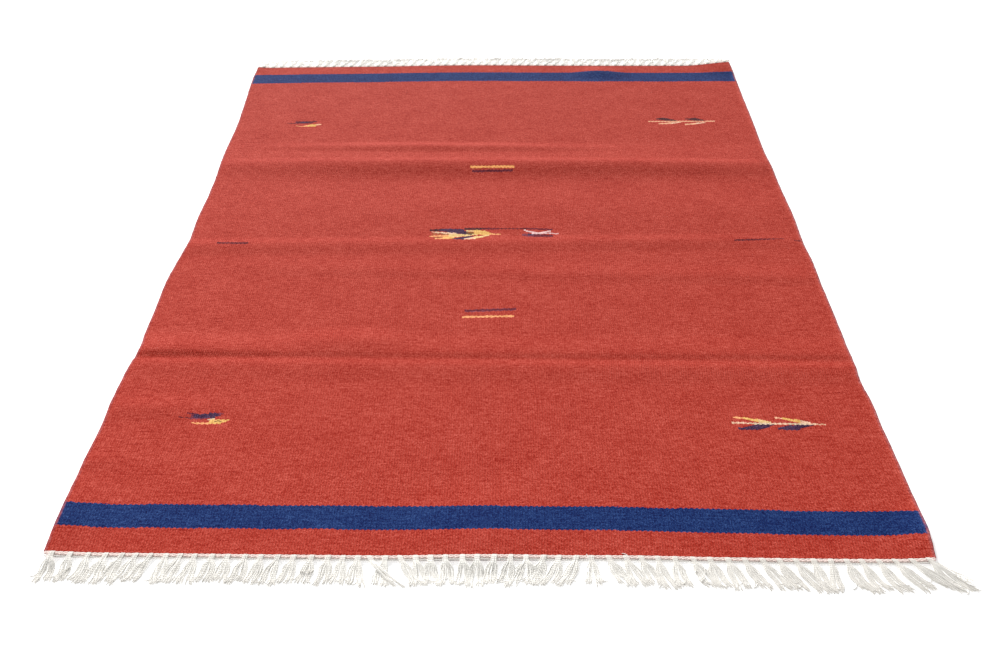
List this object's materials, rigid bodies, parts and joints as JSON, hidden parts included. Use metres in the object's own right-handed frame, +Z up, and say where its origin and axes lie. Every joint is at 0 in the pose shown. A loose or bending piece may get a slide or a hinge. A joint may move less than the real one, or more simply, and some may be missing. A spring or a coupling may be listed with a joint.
{
  "type": "kilim rug",
  "caption": "Flat-woven wool kilim rug with blue end bands, small woven motifs, low fold ridges and a knotted cotton fringe at each end.",
  "frame": {"origin": "centre of the bounding box, on the floor that the rug lies on", "axes": "+X across the rug, +Y along it towards the far end, +Z up"},
  "size_m": [1.4492, 2.1514, 0.0152],
  "materials": {
    "wool_cloth": "matt weft-faced plain weave in heathered brick-red wool, with a blue band near each end",
    "cotton_fringe": "off-white twisted cotton warp yarn"
  },
  "bodies": {
    "root": {"woven_field": "wool_cloth", "fringe_near": "cotton_fringe", "fringe_far": "cotton_fringe"}
  },
  "joints": []
}
